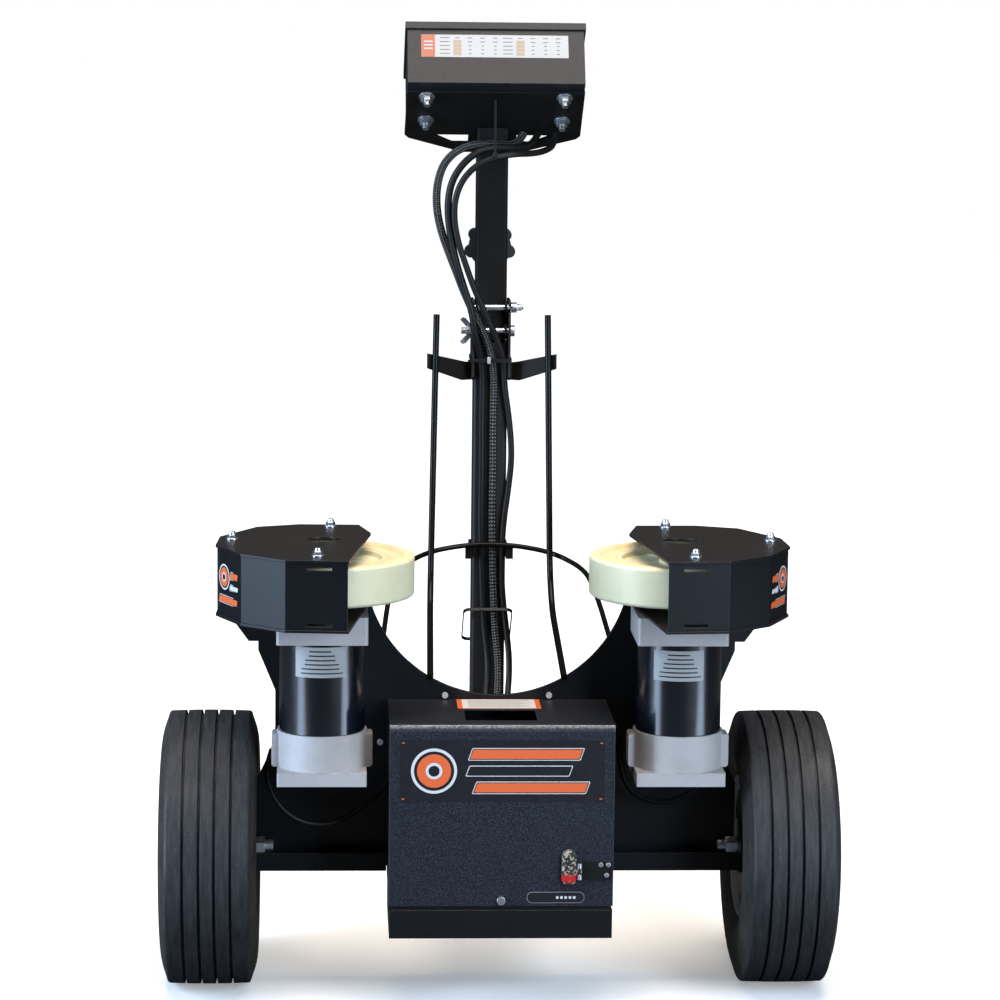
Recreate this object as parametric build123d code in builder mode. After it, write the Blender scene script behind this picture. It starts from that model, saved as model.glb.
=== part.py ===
from build123d import *
import math
import os

os.makedirs("parts", exist_ok=True)

# Two-wheel ball throwing machine. Millimetres, +Z up, ground at Z = 0.
# The ball leaves towards -Y, and the operator stands at +Y.
# Every Y below is measured from the wheel axle; axle_y puts the origin under the middle of the machine.
axle_y = -100.0
SIDES = ((-1, "left"), (1, "right"))

# Ground wheels
tyre_radius = 165.0
tyre_width = 115.0
wheel_x = 345.3
axle_z = 165.0
axle_bolt_radius = 8.0
running_gap = 0.05
bead_radius = 76.0

# Main plate
plate_front = 12.0
plate_back = 18.0
plate_bottom = 137.0
deck_z = 470.0
cut_radius = 160.0
cut_z = 509.0
plate_screws = ((-63, 349), (63, 349), (-141, 291), (141, 291))
screw_radius = 3.15

# Throwing wheels, guards and motors
hub_x = 211.0
hub_y = -78.0
throw_radius = 108.0
throw_low = 489.5
throw_high = 537.0
sheet = 3.0
guard_top_z = 550.5
shaft_radius = 9.0

# Battery box
box_half = 132.0
box_front = -139.0
box_top = 344.0
cover_low = 127.0
tray_low = 88.0
wall = 2.0

# Masts
mast_y = 290.0
lower_half = 21.5
upper_half = 19.8
lower_top = 751.5
pivot_y = 263.0
pivot_z = 767.3
latch_z = 797.0
cheek_out = 24.5
knob_z = 869.0

# Control box: a tilted frame whose X runs across, Y towards the operator and down, Z up from the box floor
tilt = 32.0
tilt_sin = math.sin(math.radians(tilt))
tilt_cos = math.cos(math.radians(tilt))
console_y = 184.0
console_z = 1080.5
console_half = 109.5
console_depth = 118.0
console_height = 83.5
mount_thick = 4.0
mount_end = 165.0

# Rear support
beam_low = 145.0
beam_high = 185.0
leg_y = 400.0
leg_half = 15.0
sleeve_half = 19.0


def level(z, x=0.0, y=0.0):
    """Horizontal plane at height z, with its origin at x and at y from the axle."""
    return Plane(origin=(x, axle_y + y, z), x_dir=(1, 0, 0), z_dir=(0, 0, 1))


def front_view(y, x=0.0, z=0.0):
    """Vertical plane whose normal points forwards, with local X across and local Y up."""
    return Plane(origin=(x, axle_y + y, z), x_dir=(1, 0, 0), z_dir=(0, -1, 0))


def side_view(x, y=0.0, z=0.0):
    """Vertical plane whose normal is +X, with local X rearwards and local Y up."""
    return Plane(origin=(x, axle_y + y, z), x_dir=(0, 1, 0), z_dir=(1, 0, 0))


def console(up=0.0, x=0.0, rear=0.0):
    """Plane of the tilted control box, raised by up from its floor."""
    y = axle_y + console_y + rear * tilt_cos + up * tilt_sin
    z = console_z - rear * tilt_sin + up * tilt_cos
    return Plane(origin=(x, y, z), x_dir=(1, 0, 0), z_dir=(0, tilt_sin, tilt_cos))


def save(builder, name):
    builder.part.label = name
    export_step(builder.part, f"parts/{name}.step")


def fillet_radii(path):
    """The largest arc radius that the two runs at each corner of a path have room for."""
    radii = []
    for before, here, after in zip(path, path[1:], path[2:]):
        turn = math.radians((here - before).get_angle(after - here))
        run = min((here - before).length, (after - here).length)
        radii.append(0.45 * run / math.tan(turn / 2))
    return radii


def cord(name, points, diameter):
    """A tube along straight runs joined by the largest tangent arcs that the runs allow."""
    path = [Vector(x, axle_y + y, z) for x, y, z in points]
    radii = fillet_radii(path)
    with BuildPart() as tube:
        with BuildLine() as route:
            FilletPolyline(*path, radius=radii)
        with BuildSketch(Plane(origin=path[0], z_dir=path[1] - path[0])):
            Circle(diameter / 2)
        sweep(path=route.wires()[0])
    length = route.wires()[0].length
    expected = math.pi * diameter**2 / 4 * length
    print(name, "length", round(length), "tightest radius", round(min(radii)),
          "volume ratio", round(tube.part.volume / expected, 4))
    save(tube, name)


# ---------------------------------------------------------------- main plate
with BuildPart() as main_plate:
    with BuildSketch(front_view(plate_back)):
        with BuildLine():
            Polyline((0, plate_bottom), (292, plate_bottom), (292, 242))
            ThreePointArc((292, 242), (280, 266), (270, 292))
            Polyline((270, 292), (268, 310), (268, 355), (288.5, 404), (288.5, 415), (300, 415),
                     (316, 437), (320, deck_z))
            Line((320, deck_z), (0, deck_z))
            Line((0, deck_z), (0, plate_bottom))
        make_face()
        mirror(about=Plane.YZ)
        with Locations((0, cut_z)):
            Circle(cut_radius, mode=Mode.SUBTRACT)
        with Locations(*plate_screws):
            Circle(screw_radius + running_gap, mode=Mode.SUBTRACT)
        with Locations((0, 225)):
            SlotOverall(70, 26, mode=Mode.SUBTRACT)
        with Locations((0, 165)):
            Rectangle(34.2, 34.2, mode=Mode.SUBTRACT)
    extrude(amount=plate_back - plate_front)
save(main_plate, "main_plate")

# ---------------------------------------------------------------- axle channels and axle bolts with their nuts
boss_in = 295.0
boss_out = 305.0
boss_radius = 33.0
channel_high = 159.0
for side, hand in SIDES:
    with BuildPart() as channel:
        with BuildSketch(side_view(side * boss_in)):
            with BuildLine():
                Polyline((-13, plate_bottom), (plate_front, plate_bottom), (plate_front, plate_bottom + sheet),
                         (-13 + sheet, plate_bottom + sheet), (-13 + sheet, channel_high),
                         (-13, channel_high), close=True)
            make_face()
        extrude(amount=-side * (boss_in - box_half - 1))
        with BuildSketch(side_view(side * boss_in, z=axle_z)):
            Circle(boss_radius)
        extrude(amount=side * (boss_out - boss_in))
        with BuildSketch(side_view(side * boss_in, z=axle_z)):
            Circle(axle_bolt_radius)
        extrude(amount=side * (boss_out - boss_in), mode=Mode.SUBTRACT)
    save(channel, f"axle_channel_{hand}")

hub_half = 37.0
with BuildPart() as axle_bolts:
    for side, hand in SIDES:
        with BuildSketch(side_view(side * 270.0, z=axle_z)):
            Circle(axle_bolt_radius)
        extrude(amount=side * 116.5)
        with BuildSketch(side_view(side * 386.5, z=axle_z)):
            Circle(13)
        extrude(amount=side * 2)
        with BuildSketch(side_view(side * 388.5, z=axle_z)):
            RegularPolygon(radius=13, side_count=6)
        extrude(amount=side * 10)
    for side, hand in SIDES:
        with BuildSketch(side_view(side * 280.0, z=axle_z)):
            RegularPolygon(radius=11.5, side_count=6, rotation=30)
            Circle(axle_bolt_radius + running_gap, mode=Mode.SUBTRACT)
        extrude(amount=side * 12.5)
        with BuildSketch(side_view(side * 292.5, z=axle_z)):
            Circle(11.5)
            Circle(axle_bolt_radius + running_gap, mode=Mode.SUBTRACT)
        extrude(amount=side * 2.5)
save(axle_bolts, "axle_bolts")

# ---------------------------------------------------------------- ground wheels
tread_edge = tyre_width / 2
groove_places = (-28, -9, 9, 28)
for side, hand in SIDES:
    with BuildPart() as tyre:
        with BuildSketch(front_view(0, x=side * wheel_x, z=axle_z)):
            with BuildLine():
                Line((-42, bead_radius), (42, bead_radius))
                Line((42, bead_radius), (46, 86))
                ThreePointArc((46, 86), (54, 100), (tread_edge, 120))
                ThreePointArc((tread_edge, 120), (57, 136), (53.5, 150))
                Line((53.5, 150), (50, 160))
                ThreePointArc((50, 160), (48.9, 162.8), (46, 164))
                ThreePointArc((46, 164), (0, tyre_radius), (-46, 164))
                ThreePointArc((-46, 164), (-48.9, 162.8), (-50, 160))
                Line((-50, 160), (-53.5, 150))
                ThreePointArc((-53.5, 150), (-57, 136), (-tread_edge, 120))
                ThreePointArc((-tread_edge, 120), (-54, 100), (-46, 86))
                Line((-46, 86), (-42, bead_radius))
            make_face()
            with Locations([(x, tyre_radius - 1.5) for x in groove_places]):
                Rectangle(3.4, 9, mode=Mode.SUBTRACT)
        revolve(axis=Axis((side * wheel_x, axle_y, axle_z), (1, 0, 0)))
    save(tyre, f"tyre_{hand}")

    with BuildPart() as rim:
        with BuildSketch(front_view(0, x=side * wheel_x, z=axle_z)):
            with BuildLine():
                Polyline((-45, 72), (-41, 73), (41, 73), (45, 72), (49, 80), (50, 85), (48.5, 86.5), (45.6, 85),
                         (42, bead_radius), (-42, bead_radius), (-45.6, 85), (-48.5, 86.5), (-50, 85),
                         (-49, 80), close=True)
            make_face()
            with BuildLine():
                Polyline((-2, 73 - running_gap), (-2, 60), (-12, 44), (-12, 22), (-9, 22), (-9, 42), (1, 58),
                         (1, 73 - running_gap), close=True)
            make_face()
            with Locations((0, 20)):
                Rectangle(2 * hub_half - 4, 6)
        revolve(axis=Axis((side * wheel_x, axle_y, axle_z), (1, 0, 0)))
        with BuildSketch(side_view(side * wheel_x - 20, z=axle_z)):
            with PolarLocations(34, 5):
                Circle(5)
        extrude(amount=40, mode=Mode.SUBTRACT)
    save(rim, f"rim_{hand}")

    with BuildPart() as bearings:
        for end in (-1, 1):
            with BuildSketch(side_view(side * wheel_x + end * (hub_half - 15), z=axle_z)):
                Circle(17)
                Circle(axle_bolt_radius + running_gap, mode=Mode.SUBTRACT)
            extrude(amount=end * 13)
            with BuildSketch(side_view(side * wheel_x + end * (hub_half - 2), z=axle_z)):
                Circle(21)
                Circle(axle_bolt_radius + running_gap, mode=Mode.SUBTRACT)
            extrude(amount=end * 2)
    save(bearings, f"wheel_bearings_{hand}")

# ---------------------------------------------------------------- guards around the throwing wheels
guard_outline = ((154, -27), (181, -233), (253, -227), (305, -183), (335, -119), (332, -57), (290, 18),
                 (240, 39), (168, 37))
band_inset = 2.0
stud_places = ((317, -77), (216, -197), (202, 22))


def guard_points(side):
    return [(side * x, y) for x, y in guard_outline]


def band_route(side, inset):
    """The folded wall follows the outline's outer edges, a little inside the plates."""
    centre_x = 245.0
    centre_y = -98.0
    route = []
    for x, y in guard_outline[1:]:
        dx = x - centre_x
        dy = y - centre_y
        reach = math.hypot(dx, dy)
        route.append((side * (x - inset * dx / reach), y - inset * dy / reach))
    return route


for side, hand in SIDES:
    with BuildPart() as deck:
        with BuildSketch(level(deck_z)):
            Polygon(*guard_points(side), align=None)
            with Locations((side * hub_x, hub_y)):
                Circle(22, mode=Mode.SUBTRACT)
        extrude(amount=sheet)
    save(deck, f"deck_{hand}")

    with BuildPart() as guard_top:
        with BuildSketch(level(guard_top_z)):
            Polygon(*guard_points(side), align=None)
            with Locations((side * hub_x, hub_y)):
                Circle(20.2, mode=Mode.SUBTRACT)
            with Locations((side * 296, -72)):
                Circle(3, mode=Mode.SUBTRACT)
            with Locations([(side * x, y) for x, y in stud_places]):
                Circle(3, mode=Mode.SUBTRACT)
        extrude(amount=sheet)
    save(guard_top, f"guard_top_{hand}")

    with BuildPart() as band:
        with BuildSketch(level(deck_z + sheet)):
            Polygon(*(band_route(side, band_inset) + band_route(side, band_inset + 2.5)[::-1]), align=None)
        extrude(amount=guard_top_z - deck_z - sheet)
        with BuildSketch(level(guard_top_z - 2.5)):
            with Locations((side * 320, -77)):
                Rectangle(22, 18)
            with Locations((side * 216, -207.25)):
                Rectangle(20, 38.5)
            with Locations((side * 202, 21.5)):
                Rectangle(20, 26)
            with Locations([(side * x, y) for x, y in stud_places]):
                Circle(3, mode=Mode.SUBTRACT)
        extrude(amount=2.5)
        with BuildSketch(front_view(-205, x=side * 214)):
            with Locations((0, guard_top_z - 7), (0, deck_z + sheet + 6)):
                Rectangle(28, 3.5)
        extrude(amount=40, mode=Mode.SUBTRACT)
    save(band, f"guard_wall_{hand}")

with BuildPart() as guard_fasteners:
    for side, hand in SIDES:
        with BuildSketch(level(guard_top_z - 6)):
            with Locations([(side * x, y) for x, y in stud_places]):
                Circle(3)
        extrude(amount=9.5)
        with BuildSketch(level(guard_top_z - 6)):
            with Locations([(side * x, y) for x, y in stud_places]):
                RegularPolygon(radius=5.5, side_count=6)
        extrude(amount=3.5)
        with BuildSketch(level(guard_top_z + sheet)):
            with Locations([(side * x, y) for x, y in stud_places]):
                Circle(7.5)
        extrude(amount=1.5)
        with BuildSketch(level(guard_top_z + sheet + 1.5)):
            with Locations([(side * x, y) for x, y in stud_places]):
                RegularPolygon(radius=5.8, side_count=6)
        extrude(amount=4)
        with BuildSketch(level(guard_top_z + sheet + 5.5)):
            with Locations([(side * x, y) for x, y in stud_places]):
                Circle(4.6)
        extrude(amount=4, taper=18)
save(guard_fasteners, "guard_fasteners")

# ---------------------------------------------------------------- throwing wheels
hub_ring = 76.0
for side, hand in SIDES:
    wheel_axis = Axis((side * hub_x, axle_y + hub_y, 0), (0, 0, 1))
    with BuildPart() as throw_tyre:
        with BuildSketch(front_view(hub_y, x=side * hub_x)):
            with BuildLine():
                Polyline((hub_ring, throw_low + 4), (92, throw_low + 4), (96, throw_low), (104, throw_low))
                TangentArc((104, throw_low), (throw_radius, throw_low + 4), tangent=(1, 0))
                Line((throw_radius, throw_low + 4), (throw_radius, throw_high - 4))
                TangentArc((throw_radius, throw_high - 4), (104, throw_high), tangent=(0, 1))
                Polyline((104, throw_high), (96, throw_high), (92, throw_high - 4), (hub_ring, throw_high - 4),
                         (hub_ring, throw_low + 4))
            make_face()
        revolve(axis=wheel_axis)
    save(throw_tyre, f"throw_tyre_{hand}")

    with BuildPart() as throw_hub:
        with BuildSketch(front_view(hub_y, x=side * hub_x)):
            with BuildLine():
                Polyline((shaft_radius, throw_low + 2), (24, throw_low + 2), (26, 506), (hub_ring - 8, 506),
                         (hub_ring - 6, throw_low + 4), (hub_ring, throw_low + 4), (hub_ring, throw_high - 4),
                         (hub_ring - 6, throw_high - 4), (hub_ring - 8, 528), (26, 528), (24, throw_high + 2),
                         (shaft_radius, throw_high + 2), close=True)
            make_face()
        revolve(axis=wheel_axis)
        with BuildSketch(level(throw_low + 8, x=side * hub_x, y=hub_y)):
            with PolarLocations(46, 6):
                Rectangle(50, 6)
        extrude(amount=throw_high - throw_low - 16)
    save(throw_hub, f"throw_hub_{hand}")

    with BuildPart() as motor_shaft:
        with BuildSketch(level(350, x=side * hub_x, y=hub_y)):
            Circle(shaft_radius)
        extrude(amount=545 - 350)
        with BuildSketch(level(350, x=side * hub_x, y=hub_y)):
            Circle(30)
        extrude(amount=60)
    save(motor_shaft, f"motor_rotor_{hand}")

# ---------------------------------------------------------------- motors
flange_low = 437.0
can_low = 328.0
can_radius = 50.5
bell_low = 286.0
base_low = 268.5
for side, hand in SIDES:
    with BuildPart() as flange:
        with BuildSketch(level(flange_low, x=side * hub_x, y=hub_y)):
            RectangleRounded(107, 107, 4)
            Circle(shaft_radius + running_gap, mode=Mode.SUBTRACT)
        extrude(amount=deck_z - flange_low)
        with BuildSketch(front_view(hub_y - 30, x=side * hub_x, z=460)):
            with Locations((-4, 0)):
                RectangleRounded(30, 8, 2)
        extrude(amount=40, mode=Mode.SUBTRACT)
    save(flange, f"motor_flange_{hand}")

    with BuildPart() as can:
        with BuildSketch(level(can_low, x=side * hub_x, y=hub_y)):
            Circle(can_radius)
            Circle(can_radius - 7, mode=Mode.SUBTRACT)
        extrude(amount=flange_low - can_low)
    save(can, f"motor_can_{hand}")

    with BuildPart() as end_bell:
        with BuildSketch(level(base_low, x=side * hub_x, y=hub_y)):
            RectangleRounded(105, 105, 2)
        extrude(amount=bell_low - 1.5 - base_low)
        with BuildSketch(level(bell_low - 1.5, x=side * hub_x, y=hub_y)):
            Circle(53)
        extrude(amount=can_low - bell_low + 1.5)
        with BuildSketch(front_view(hub_y + 14, x=side * hub_x)):
            with BuildLine():
                Polyline((-59.5, 286.5), (-57, 284), (57, 284), (59.5, 286.5), (59.5, can_low - 6),
                         (58, can_low - 4.5), (-58, can_low - 4.5), (-59.5, can_low - 6), close=True)
            make_face()
        extrude(amount=28)
        with BuildSketch(level(can_low, x=side * hub_x, y=hub_y)):
            Circle(can_radius)
        extrude(amount=20, mode=Mode.SUBTRACT)
        with BuildSketch(level(300, x=side * hub_x, y=hub_y)):
            Circle(42)
        extrude(amount=60, mode=Mode.SUBTRACT)
    save(end_bell, f"motor_end_bell_{hand}")

# ---------------------------------------------------------------- battery box, tray and battery
with BuildPart() as battery_box:
    with BuildSketch(level(cover_low)):
        with Locations((0, (box_front + plate_front) / 2)):
            Rectangle(2 * box_half, plate_front - box_front)
            Rectangle(2 * (box_half - wall), plate_front - box_front - 2 * wall, mode=Mode.SUBTRACT)
    extrude(amount=box_top - wall - cover_low)
    with BuildSketch(level(box_top - wall)):
        with Locations((0, (box_front + plate_front) / 2)):
            Rectangle(2 * box_half, plate_front - box_front)
        with Locations((0, -78.5)):
            Rectangle(85, 63, mode=Mode.SUBTRACT)
    extrude(amount=wall)
    with BuildSketch(front_view(box_front + 5)):
        with Locations((79.5, 174)):
            SlotOverall(34, 12, rotation=90, mode=Mode.ADD)
    extrude(amount=20, mode=Mode.SUBTRACT)
    with BuildSketch(front_view(plate_front + 1)):
        with Locations((0, 225)):
            SlotOverall(70, 26)
    extrude(amount=8, mode=Mode.SUBTRACT)
save(battery_box, "battery_box")

with BuildPart() as battery_tray:
    with BuildSketch(level(tray_low)):
        with Locations((0, (box_front + plate_front) / 2)):
            Rectangle(2 * box_half - 1, plate_front - box_front)
    extrude(amount=cover_low - tray_low - 5)
    with BuildSketch(level(cover_low - 5)):
        with Locations((0, (box_front + plate_front) / 2)):
            Rectangle(2 * box_half - 7, plate_front - box_front - 7)
    extrude(amount=22)
    with BuildSketch(level(tray_low + 3)):
        with Locations((0, (box_front + plate_front) / 2)):
            Rectangle(2 * box_half - 12, plate_front - box_front - 12)
    extrude(amount=100, mode=Mode.SUBTRACT)
save(battery_tray, "battery_tray")

with BuildPart() as battery:
    with BuildSketch(level(tray_low + 3)):
        with Locations((30, -60)):
            RectangleRounded(180, 76, 4)
    extrude(amount=155)
    with BuildSketch(level(tray_low + 158)):
        with Locations((-35, -60), (95, -60)):
            Rectangle(16, 14)
    extrude(amount=10)
save(battery, "battery")

with BuildPart() as charger_socket:
    with BuildSketch(front_view(box_front + wall + 10)):
        with Locations((79.5, 174)):
            SlotOverall(40, 16, rotation=90)
    extrude(amount=10)
    with BuildSketch(front_view(box_front + wall)):
        with Locations((79.5, 174)):
            SlotOverall(33.9, 11.9, rotation=90)
    extrude(amount=wall)
    with BuildSketch(front_view(box_front + wall + 8)):
        with Locations((79.5, 182), (79.5, 166)):
            Circle(3)
    extrude(amount=20, mode=Mode.SUBTRACT)
save(charger_socket, "charger_socket")

cap_hinge_x = 91.8
cap_hinge_y = box_front - 3.2
with BuildPart() as box_fittings:
    with BuildSketch(front_view(box_front)):
        with Locations((112.9, 170)):
            RectangleRounded(35, 22, 3)
        with Locations((117, 177.5), (126, 177.5), (124, 165)):
            Circle(2.9, mode=Mode.SUBTRACT)
    extrude(amount=2)
    for low in (160, 173):
        with BuildSketch(level(low, x=cap_hinge_x, y=cap_hinge_y)):
            Circle(3)
            with Locations((2.5, 2)):
                Rectangle(5, 2)
            Circle(1.55, mode=Mode.SUBTRACT)
        extrude(amount=6)
    with BuildSketch(front_view(box_front)):
        with Locations((0, 134)):
            Circle(5)
        with Locations((117, 177.5), (126, 177.5), (124, 165)):
            Circle(2.8)
    extrude(amount=4)
    with BuildSketch(front_view(plate_front)):
        with Locations(*plate_screws):
            Circle(3.7)
    extrude(amount=3)
    with BuildSketch(front_view(plate_front)):
        with Locations(*plate_screws):
            Circle(screw_radius)
    extrude(amount=plate_front - plate_back)
save(box_fittings, "box_fittings")

with BuildPart() as charger_cap:
    with BuildSketch(front_view(box_front - 0.2)):
        with Locations((79.5, 174)):
            SlotOverall(43, 17, rotation=90)
    extrude(amount=7)
    fillet(charger_cap.edges().filter_by(GeomType.CIRCLE).sort_by(Axis.Y)[:2], radius=2.5)
    with BuildSketch(level(166.4, x=cap_hinge_x, y=cap_hinge_y)):
        Circle(3)
        with Locations((-3, -0.5)):
            Rectangle(4, 4)
    extrude(amount=6.2)
    with BuildSketch(level(160, x=cap_hinge_x, y=cap_hinge_y)):
        Circle(1.5)
    extrude(amount=19)
save(charger_cap, "charger_cap")

# ---------------------------------------------------------------- lower mast, cheeks and folding joint
with BuildPart() as lower_mast:
    with BuildSketch(level(beam_high, y=mast_y)):
        RectangleRounded(2 * lower_half, 2 * lower_half, 4)
        RectangleRounded(2 * lower_half - 6, 2 * lower_half - 6, 2, mode=Mode.SUBTRACT)
    extrude(amount=lower_top - beam_high)
    for side, hand in SIDES:
        with BuildSketch(side_view(side * lower_half)):
            with BuildLine():
                Polyline((255, 709), (259, 705), (307, 705), (311, 709), (311, 778), (304, 806), (259, 806),
                         (255, 802), close=True)
            make_face()
            with Locations((pivot_y, pivot_z)):
                Circle(4, mode=Mode.SUBTRACT)
            with Locations((pivot_y - 6, latch_z - 0.75)):
                Rectangle(20.5, 10.1, mode=Mode.SUBTRACT)
        extrude(amount=side * (cheek_out - lower_half))
save(lower_mast, "lower_mast")

with BuildPart() as upper_mast:
    with BuildSketch(level(lower_top + 4, y=mast_y)):
        RectangleRounded(2 * upper_half, 2 * upper_half, 4)
        RectangleRounded(2 * upper_half - 6, 2 * upper_half - 6, 2, mode=Mode.SUBTRACT)
    extrude(amount=300)
    for side, hand in SIDES:
        with BuildSketch(side_view(side * (upper_half - 3))):
            for height in (pivot_z, latch_z):
                with Locations((pivot_y, height)):
                    Circle(8)
                with Locations((pivot_y + 5.5, height)):
                    Rectangle(11, 12)
            with Locations((pivot_y, pivot_z)):
                Circle(4 + running_gap, mode=Mode.SUBTRACT)
            with Locations((pivot_y, latch_z)):
                Circle(4, mode=Mode.SUBTRACT)
        extrude(amount=side * 3)
    with BuildSketch(front_view(mast_y + 30, z=knob_z)):
        Circle(4 + running_gap)
    extrude(amount=30, mode=Mode.SUBTRACT)
    split(bisect_by=console(-mount_thick), keep=Keep.BOTTOM)
save(upper_mast, "upper_mast")


def bolt_and_wing_nut(low, high, height, nut_at, head_at, direction, wings):
    """Cross bolt from low to high along X, with a round head and a wing nut whose wings lie in a plane."""
    with BuildPart() as bolt:
        with BuildSketch(side_view(low, y=pivot_y, z=height)):
            Circle(4)
        extrude(amount=high - low)
        with BuildSketch(side_view(head_at, y=pivot_y, z=height)):
            Circle(7)
        extrude(amount=-direction * 5)
        with BuildSketch(side_view(nut_at, y=pivot_y, z=height)):
            Circle(6.5)
        extrude(amount=direction * 7)
        with BuildSketch(wings):
            for up in (-1, 1):
                with BuildLine():
                    Polyline((direction * 2, up * 5), (direction * 7, up * 5), (direction * 15, up * 14),
                             (direction * 12, up * 17), (direction * 8, up * 16), (direction * 2, up * 9),
                             close=True)
                make_face()
        extrude(amount=1.2, both=True)
    return bolt


latch_gap = 0.3
upright_wings = front_view(pivot_y, x=-cheek_out, z=pivot_z)
level_wings = level(latch_z, x=cheek_out + latch_gap, y=pivot_y)
save(bolt_and_wing_nut(-38, cheek_out, pivot_z, -cheek_out, cheek_out, -1, upright_wings), "pivot_bolt")
save(bolt_and_wing_nut(-cheek_out - latch_gap, 38, latch_z, cheek_out + latch_gap, -cheek_out - latch_gap, 1,
                       level_wings), "latch_bolt")

with BuildPart() as mast_knob:
    with BuildSketch(front_view(mast_y + upper_half + 26, z=knob_z)):
        Circle(27)
        with PolarLocations(25, 7, start_angle=90):
            Circle(8)
    extrude(amount=18)
    with BuildSketch(front_view(mast_y + upper_half + 10, z=knob_z)):
        Circle(11)
    extrude(amount=9.8)
    with BuildSketch(front_view(mast_y + upper_half + 10, z=knob_z)):
        Circle(4)
    extrude(amount=24)
save(mast_knob, "mast_knob")

# ---------------------------------------------------------------- ball guide: rods, hoop and brackets
rod_radius = 4.0
hoop_radius = 3.2
with BuildPart() as ball_rods:
    for side, hand in SIDES:
        route_points = [Vector(side * 70, axle_y + 238, 790), Vector(side * 76, axle_y + 216, 432),
                        Vector(side * 81, axle_y + 9, 372)]
        with BuildLine() as rod_line:
            FilletPolyline(*route_points, radius=90)
        with BuildSketch(Plane(origin=route_points[0], z_dir=route_points[1] - route_points[0])):
            Circle(rod_radius)
        sweep(path=rod_line.wires()[0])
save(ball_rods, "ball_rods")

hoop_points = ((-139.4, 0), (-130.5, 110), (-119, 187), (-80, 231), (-28, 250.5), (28, 250.5), (80, 231),
               (119, 187), (130.5, 110), (139.4, 0))
hoop_plane = Plane(origin=(0, axle_y + 18.5, 408), x_dir=(1, 0, 0), z_dir=(0, -86, 233.5))
with BuildPart() as ball_hoop:
    with BuildLine(hoop_plane) as hoop_line:
        FilletPolyline(*hoop_points, radius=fillet_radii([Vector(x, y, 0) for x, y in hoop_points]))
    with BuildSketch(Plane(origin=hoop_line.wires()[0] @ 0, z_dir=hoop_line.wires()[0] % 0)):
        Circle(hoop_radius)
    sweep(path=hoop_line.wires()[0])
save(ball_hoop, "ball_hoop")

clamp_front = 254.0
clamp_back = mast_y + lower_half + 3
wing_back = 1.2
with BuildPart() as guide_brackets:
    with BuildSketch(level(476, y=(clamp_front + clamp_back) / 2)):
        Rectangle(2 * lower_half + 6, clamp_back - clamp_front)
        with Locations((0, 1.5 - (clamp_back - clamp_front) / 2)):
            Rectangle(2 * lower_half + 18, 3)
        with Locations((0, -3)):
            Rectangle(2 * lower_half, clamp_back - clamp_front, mode=Mode.SUBTRACT)
    extrude(amount=16)
    for side, hand in SIDES:
        wing_plane = Plane(origin=(side * cheek_out, axle_y + 272 + wing_back, 0),
                           x_dir=(side * 55.5, -40, 0), z_dir=(-side * 40, -55.5, 0))
        if side < 0:
            wing_plane = Plane(origin=wing_plane.origin, x_dir=wing_plane.x_dir, z_dir=(40, -55.5, 0))
        with BuildSketch(wing_plane):
            up = 1 if wing_plane.y_dir.Z > 0 else -1
            Polygon((0, 704 * up), (14.2, 704 * up), (68.4, 722 * up), (68.4, 741 * up), (12, 728 * up),
                    (0, 726 * up), align=None)
        extrude(amount=-3)
        with BuildSketch(side_view(side * cheek_out)):
            with Locations((288, 715)):
                Rectangle(34, 22)
        extrude(amount=side * 3)
save(guide_brackets, "guide_brackets")

with BuildPart() as cable_ties:
    with BuildSketch(level(728, y=281.7)):
        RectangleRounded(52, 62.6, 2.3)
        RectangleRounded(49.4, 60, 1, mode=Mode.SUBTRACT)
    extrude(amount=5)
    slanted = Plane(origin=(-0.7, axle_y + 283.6, 384), x_dir=(1, 0, 0), z_dir=(0, 4, 5))
    with BuildSketch(slanted):
        RectangleRounded(63.2, 81.6, 9)
        RectangleRounded(60.6, 79, 8, mode=Mode.SUBTRACT)
    extrude(amount=4)
save(cable_ties, "cable_ties")

# ---------------------------------------------------------------- rear beam, leg and foot
with BuildPart() as rear_beam:
    with BuildSketch(front_view(leg_y, z=(beam_low + beam_high) / 2)):
        RectangleRounded(40, 40, 3)
    extrude(amount=leg_y - plate_back)
    with BuildSketch(front_view(leg_y, z=(beam_low + beam_high) / 2)):
        RectangleRounded(34, 34, 2)
    extrude(amount=leg_y - plate_back, mode=Mode.SUBTRACT)
    with BuildSketch(front_view(plate_back + 4, z=(beam_low + beam_high) / 2)):
        RectangleRounded(110, 50, 6)
        Rectangle(34, 34, mode=Mode.SUBTRACT)
    extrude(amount=4)
    with BuildSketch(level(70, y=leg_y)):
        RectangleRounded(2 * sleeve_half, 2 * sleeve_half, 3)
    extrude(amount=150)
    with BuildSketch(level(60, y=leg_y)):
        Rectangle(2 * leg_half + 2 * running_gap, 2 * leg_half + 2 * running_gap)
    extrude(amount=170, mode=Mode.SUBTRACT)
    with BuildSketch(side_view(0, y=leg_y, z=110)):
        Circle(4 + running_gap)
    extrude(amount=40, mode=Mode.SUBTRACT)
save(rear_beam, "rear_beam")

with BuildPart() as rear_leg:
    with BuildSketch(level(11, y=leg_y)):
        Rectangle(2 * leg_half, 2 * leg_half)
        Rectangle(2 * leg_half - 6, 2 * leg_half - 6, mode=Mode.SUBTRACT)
    extrude(amount=199)
    with BuildSketch(level(11, y=leg_y)):
        Circle(26)
    extrude(amount=4)
save(rear_leg, "rear_leg")

with BuildPart() as rear_foot:
    with BuildSketch(level(0, y=leg_y)):
        Circle(33)
    extrude(amount=15)
    with BuildSketch(level(11, y=leg_y)):
        Circle(26)
    extrude(amount=4, mode=Mode.SUBTRACT)
    chamfer(rear_foot.edges().filter_by(GeomType.CIRCLE).sort_by(Axis.Z)[0], length=2)
save(rear_foot, "rear_foot")

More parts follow.
